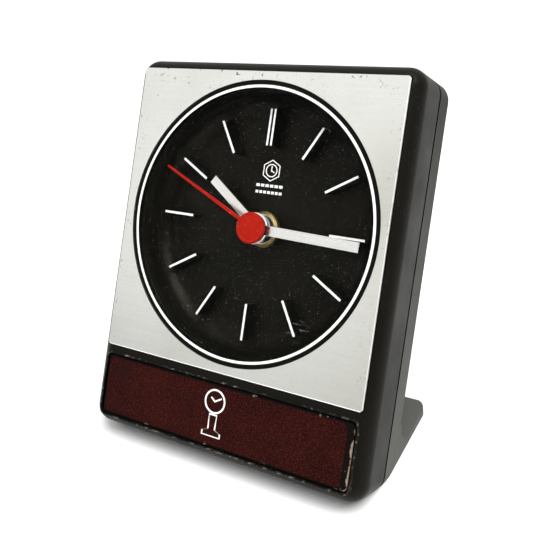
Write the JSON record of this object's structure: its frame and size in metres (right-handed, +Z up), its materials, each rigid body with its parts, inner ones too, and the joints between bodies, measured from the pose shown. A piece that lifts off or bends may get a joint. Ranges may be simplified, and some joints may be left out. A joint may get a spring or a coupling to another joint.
{
  "type": "travel clock",
  "caption": "Leaning square desk clock for travel with a brushed face plate, a deep black dial, a leather strip, a moulded foot and a geared quartz movement.",
  "frame": {"origin": "centre of the footprint's bounding box at the ground, under the rubber pads", "axes": "+Z up, the face looks along -Y and leans back 30 degrees, +X to the right of the face, 12 o'clock up"},
  "size_m": [0.103, 0.0846, 0.1145],
  "materials": {
    "front_shell": "fine moulded grain",
    "rear_cover": "fine moulded grain",
    "face_plate": "brushed left to right",
    "lens": "clear, flat",
    "leather_panel": "dark red-brown, fine grain, worn edges",
    "dial": "matt black, white fin edges",
    "hour_hand": "satin silver",
    "minute_hand": "satin silver",
    "second_hand": "red paint",
    "second_hand_cap": "red",
    "centre_nut": "turned",
    "nut_washer": "stamped",
    "movement_base": "moulded",
    "movement_cover": "moulded",
    "centre_wheel": "cut gear with its cannon pinion",
    "hour_wheel": "moulded nylon",
    "minute_work_wheel": "moulded nylon",
    "third_wheel": "cut gear",
    "seconds_wheel": "cut gear",
    "intermediate_wheel": "moulded nylon",
    "rotor": "sintered magnet on a steel arbor",
    "setting_arbor": "turned",
    "setting_knob": "ribbed grip",
    "stator": "stamped soft iron",
    "coil_core": "stamped soft iron",
    "coil_bobbin": "moulded nylon",
    "coil_winding": "enamelled copper wire",
    "coil_screw_top": "turned",
    "coil_screw_bottom": "turned",
    "circuit_board": "green laminate",
    "quartz_crystal": "drawn can",
    "timing_chip": "moulded resin",
    "trimmer": "moulded",
    "battery_cell": "plain sleeve",
    "battery_tray": "moulded",
    "contact_minus": "plated spring strip",
    "contact_plus": "plated spring strip",
    "battery_door": "fine moulded grain",
    "case_screw_top_left": "turned, slotted head",
    "case_screw_top_right": "turned, slotted head",
    "case_screw_bottom_left": "turned, slotted head",
    "case_screw_bottom_right": "turned, slotted head",
    "tray_screw_left": "turned, slotted head",
    "tray_screw_right": "turned, slotted head",
    "movement_screw_left": "turned, slotted head",
    "movement_screw_right": "turned, slotted head",
    "foot_pad_front_left": "matt",
    "foot_pad_front_right": "matt",
    "foot_pad_rear_left": "matt",
    "foot_pad_rear_right": "matt"
  },
  "bodies": {
    "case": {"front_shell": "front_shell", "rear_cover": "rear_cover", "face_plate": "face_plate", "lens": "lens", "leather_panel": "leather_panel", "dial": "dial", "centre_nut": "centre_nut", "nut_washer": "nut_washer", "movement_base": "movement_base", "movement_cover": "movement_cover", "stator": "stator", "coil_core": "coil_core", "coil_bobbin": "coil_bobbin", "coil_winding": "coil_winding", "coil_screw_top": "coil_screw_top", "coil_screw_bottom": "coil_screw_bottom", "circuit_board": "circuit_board", "quartz_crystal": "quartz_crystal", "timing_chip": "timing_chip", "trimmer": "trimmer", "battery_cell": "battery_cell", "battery_tray": "battery_tray", "contact_minus": "contact_minus", "contact_plus": "contact_plus", "case_screw_top_left": "case_screw_top_left", "case_screw_top_right": "case_screw_top_right", "case_screw_bottom_left": "case_screw_bottom_left", "case_screw_bottom_right": "case_screw_bottom_right", "tray_screw_left": "tray_screw_left", "tray_screw_right": "tray_screw_right", "movement_screw_left": "movement_screw_left", "movement_screw_right": "movement_screw_right", "foot_pad_front_left": "foot_pad_front_left", "foot_pad_front_right": "foot_pad_front_right", "foot_pad_rear_left": "foot_pad_rear_left", "foot_pad_rear_right": "foot_pad_rear_right"},
    "minute_train": {"minute_hand": "minute_hand", "centre_wheel": "centre_wheel"},
    "minute_work": {"minute_work_wheel": "minute_work_wheel"},
    "hour_train": {"hour_hand": "hour_hand", "hour_wheel": "hour_wheel"},
    "setting": {"setting_arbor": "setting_arbor", "setting_knob": "setting_knob"},
    "third": {"third_wheel": "third_wheel"},
    "second_train": {"second_hand": "second_hand", "second_hand_cap": "second_hand_cap", "seconds_wheel": "seconds_wheel"},
    "intermediate": {"intermediate_wheel": "intermediate_wheel"},
    "rotor": {"rotor": "rotor"},
    "door": {"battery_door": "battery_door"}
  },
  "joints": [
    {"name": "minute_spin", "type": "hinge", "parent": "case", "child": "minute_train", "pos_m": [0.0004, 0.00843, 0.06255], "axis": [0, 0.866, -0.5], "continuous": true},
    {"name": "minute_work_spin", "type": "hinge", "parent": "case", "child": "minute_work", "pos_m": [0.0004, 0.00543, 0.05736], "axis": [0, 0.866, -0.5], "continuous": true},
    {"name": "hour_spin", "type": "hinge", "parent": "case", "child": "hour_train", "pos_m": [0.0004, 0.00411, 0.06505], "axis": [0, 0.866, -0.5], "continuous": true},
    {"name": "setting_spin", "type": "hinge", "parent": "case", "child": "setting", "pos_m": [0.0004, 0.00503, 0.05066], "axis": [0, 0.866, -0.5], "continuous": true},
    {"name": "third_spin", "type": "hinge", "parent": "case", "child": "third", "pos_m": [-0.00755, 0.01246, 0.06553], "axis": [0, 0.866, -0.5], "continuous": true},
    {"name": "second_spin", "type": "hinge", "parent": "case", "child": "second_train", "pos_m": [0.0004, 0.00584, 0.06405], "axis": [0, 0.866, -0.5], "continuous": true},
    {"name": "intermediate_spin", "type": "hinge", "parent": "case", "child": "intermediate", "pos_m": [0.00683, 0.0146, 0.06523], "axis": [0, 0.866, -0.5], "continuous": true},
    {"name": "rotor_spin", "type": "hinge", "parent": "case", "child": "rotor", "pos_m": [0.01247, 0.01389, 0.06801], "axis": [0, 0.866, -0.5], "continuous": true},
    {"name": "door_hinge", "type": "hinge", "parent": "case", "child": "door", "pos_m": [0, -0.00247, 0.02647], "axis": [1, 0, 0], "range_deg": [0, 75]}
  ],
  "couplings": [
    {"joint": "minute_work_spin", "follows": "minute_spin", "ratio": -0.33333},
    {"joint": "hour_spin", "follows": "minute_spin", "ratio": 0.083333},
    {"joint": "setting_spin", "follows": "minute_spin", "ratio": 1},
    {"joint": "third_spin", "follows": "minute_spin", "ratio": -8},
    {"joint": "second_spin", "follows": "minute_spin", "ratio": 60},
    {"joint": "intermediate_spin", "follows": "minute_spin", "ratio": -360},
    {"joint": "rotor_spin", "follows": "minute_spin", "ratio": 1800}
  ]
}
